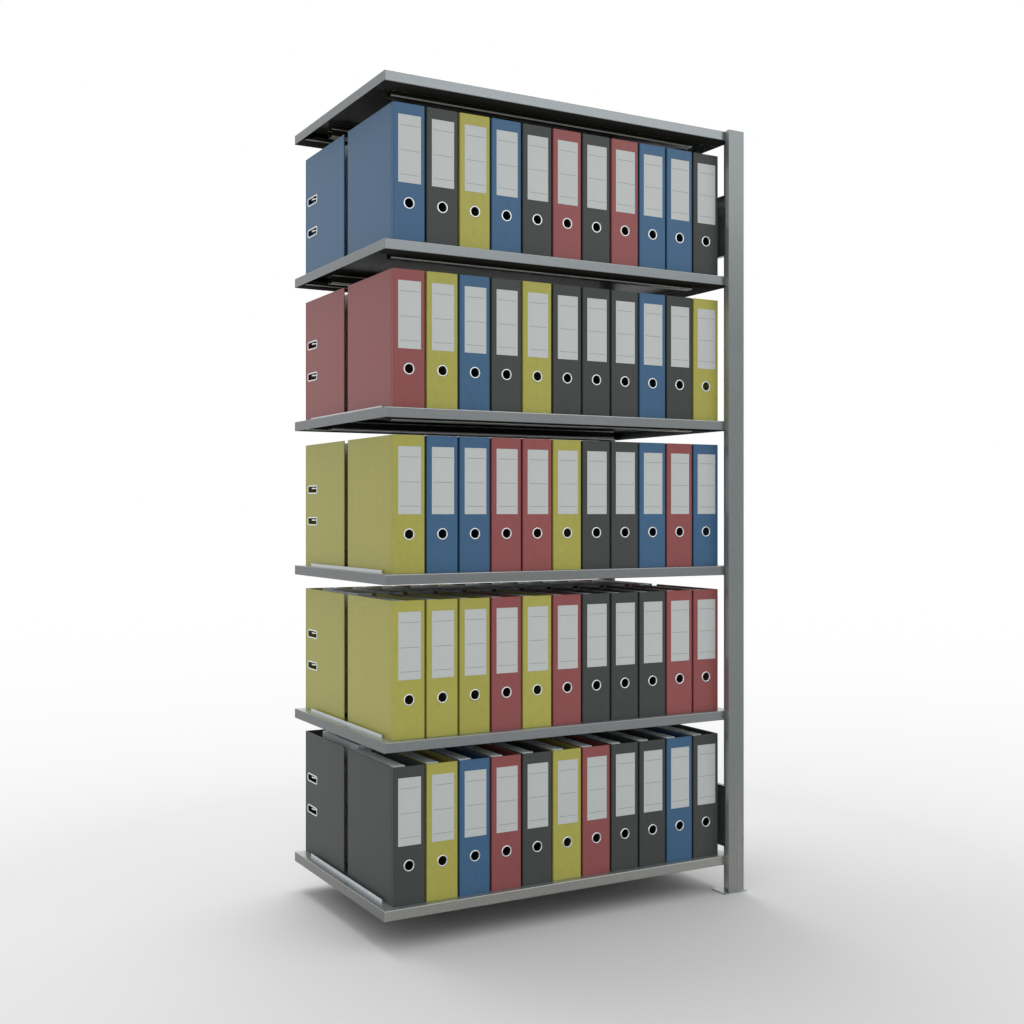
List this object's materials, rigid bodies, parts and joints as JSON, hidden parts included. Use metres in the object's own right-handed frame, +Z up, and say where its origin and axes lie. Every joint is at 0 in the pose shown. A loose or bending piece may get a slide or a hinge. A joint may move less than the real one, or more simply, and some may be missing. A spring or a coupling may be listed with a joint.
{
  "type": "archive shelving unit",
  "caption": "Galvanised steel add-on bay of double-sided archive shelving: folded shelves clipped to a slotted T-post frame, filled with coloured lever-arch files that pull out.",
  "frame": {"origin": "on the floor, under the middle of the overall box", "axes": "+X along the shelves towards the upright frame, +Y from the front to the back, +Z up"},
  "size_m": [1.0336, 0.62, 2.005],
  "materials": {
    "post_steel": "galvanised, satin",
    "foot_steel": "galvanised, satin",
    "tie_steel": "bright zinc sheet",
    "shelf_steel": "galvanised, satin",
    "stiffener_steel": "bright zinc sheet",
    "clip_steel": "bright zinc sheet",
    "blue_board": "board covered in textured blue foil",
    "black_board": "board covered in textured anthracite foil",
    "yellow_board": "board covered in textured yellow foil",
    "red_board": "board covered in textured red foil",
    "mixed_boards": "rows of files in blue, anthracite, yellow and red textured foil",
    "papers": "stacked paper edges"
  },
  "bodies": {
    "shelving": {"front_post": "post_steel", "rear_post": "post_steel", "front_foot_plate": "foot_steel", "rear_foot_plate": "foot_steel", "lower_tie_plate": "tie_steel", "upper_tie_plate": "tie_steel", "shelf_1": "shelf_steel", "shelf_2": "shelf_steel", "shelf_3": "shelf_steel", "shelf_4": "shelf_steel", "shelf_5": "shelf_steel", "shelf_6": "shelf_steel", "shelf_1_front_stiffener": "stiffener_steel", "shelf_2_front_stiffener": "stiffener_steel", "shelf_3_front_stiffener": "stiffener_steel", "shelf_4_front_stiffener": "stiffener_steel", "shelf_5_front_stiffener": "stiffener_steel", "shelf_6_front_stiffener": "stiffener_steel", "shelf_1_rear_stiffener": "stiffener_steel", "shelf_2_rear_stiffener": "stiffener_steel", "shelf_3_rear_stiffener": "stiffener_steel", "shelf_4_rear_stiffener": "stiffener_steel", "shelf_5_rear_stiffener": "stiffener_steel", "shelf_6_rear_stiffener": "stiffener_steel", "shelf_1_front_clip": "clip_steel", "shelf_2_front_clip": "clip_steel", "shelf_3_front_clip": "clip_steel", "shelf_4_front_clip": "clip_steel", "shelf_5_front_clip": "clip_steel", "shelf_6_front_clip": "clip_steel", "shelf_1_rear_clip": "clip_steel", "shelf_2_rear_clip": "clip_steel", "shelf_3_rear_clip": "clip_steel", "shelf_4_rear_clip": "clip_steel", "shelf_5_rear_clip": "clip_steel", "shelf_6_rear_clip": "clip_steel", "shelf_1_front_files": "mixed_boards", "shelf_2_front_files": "mixed_boards", "shelf_3_front_files": "mixed_boards", "shelf_4_front_files": "mixed_boards", "shelf_5_front_files": "mixed_boards", "shelf_1_rear_files": "mixed_boards", "shelf_2_rear_files": "mixed_boards", "shelf_3_rear_files": "mixed_boards", "shelf_4_rear_files": "mixed_boards", "shelf_5_rear_files": "mixed_boards"},
    "shelf_1_file": {"shelf_1_pull_file_cover": "black_board", "shelf_1_pull_file_papers": "papers"},
    "shelf_2_file": {"shelf_2_pull_file_cover": "yellow_board", "shelf_2_pull_file_papers": "papers"},
    "shelf_3_file": {"shelf_3_pull_file_cover": "yellow_board", "shelf_3_pull_file_papers": "papers"},
    "shelf_4_file": {"shelf_4_pull_file_cover": "red_board", "shelf_4_pull_file_papers": "papers"},
    "shelf_5_file": {"shelf_5_pull_file_cover": "blue_board", "shelf_5_pull_file_papers": "papers"}
  },
  "joints": [
    {"name": "shelf_1_file_pull", "type": "slide", "parent": "shelving", "child": "shelf_1_file", "axis": [0, -1, 0], "range_m": [0, 0.14]},
    {"name": "shelf_2_file_pull", "type": "slide", "parent": "shelving", "child": "shelf_2_file", "axis": [0, -1, 0], "range_m": [0, 0.14]},
    {"name": "shelf_3_file_pull", "type": "slide", "parent": "shelving", "child": "shelf_3_file", "axis": [0, -1, 0], "range_m": [0, 0.14]},
    {"name": "shelf_4_file_pull", "type": "slide", "parent": "shelving", "child": "shelf_4_file", "axis": [0, -1, 0], "range_m": [0, 0.14]},
    {"name": "shelf_5_file_pull", "type": "slide", "parent": "shelving", "child": "shelf_5_file", "axis": [0, -1, 0], "range_m": [0, 0.14]}
  ]
}
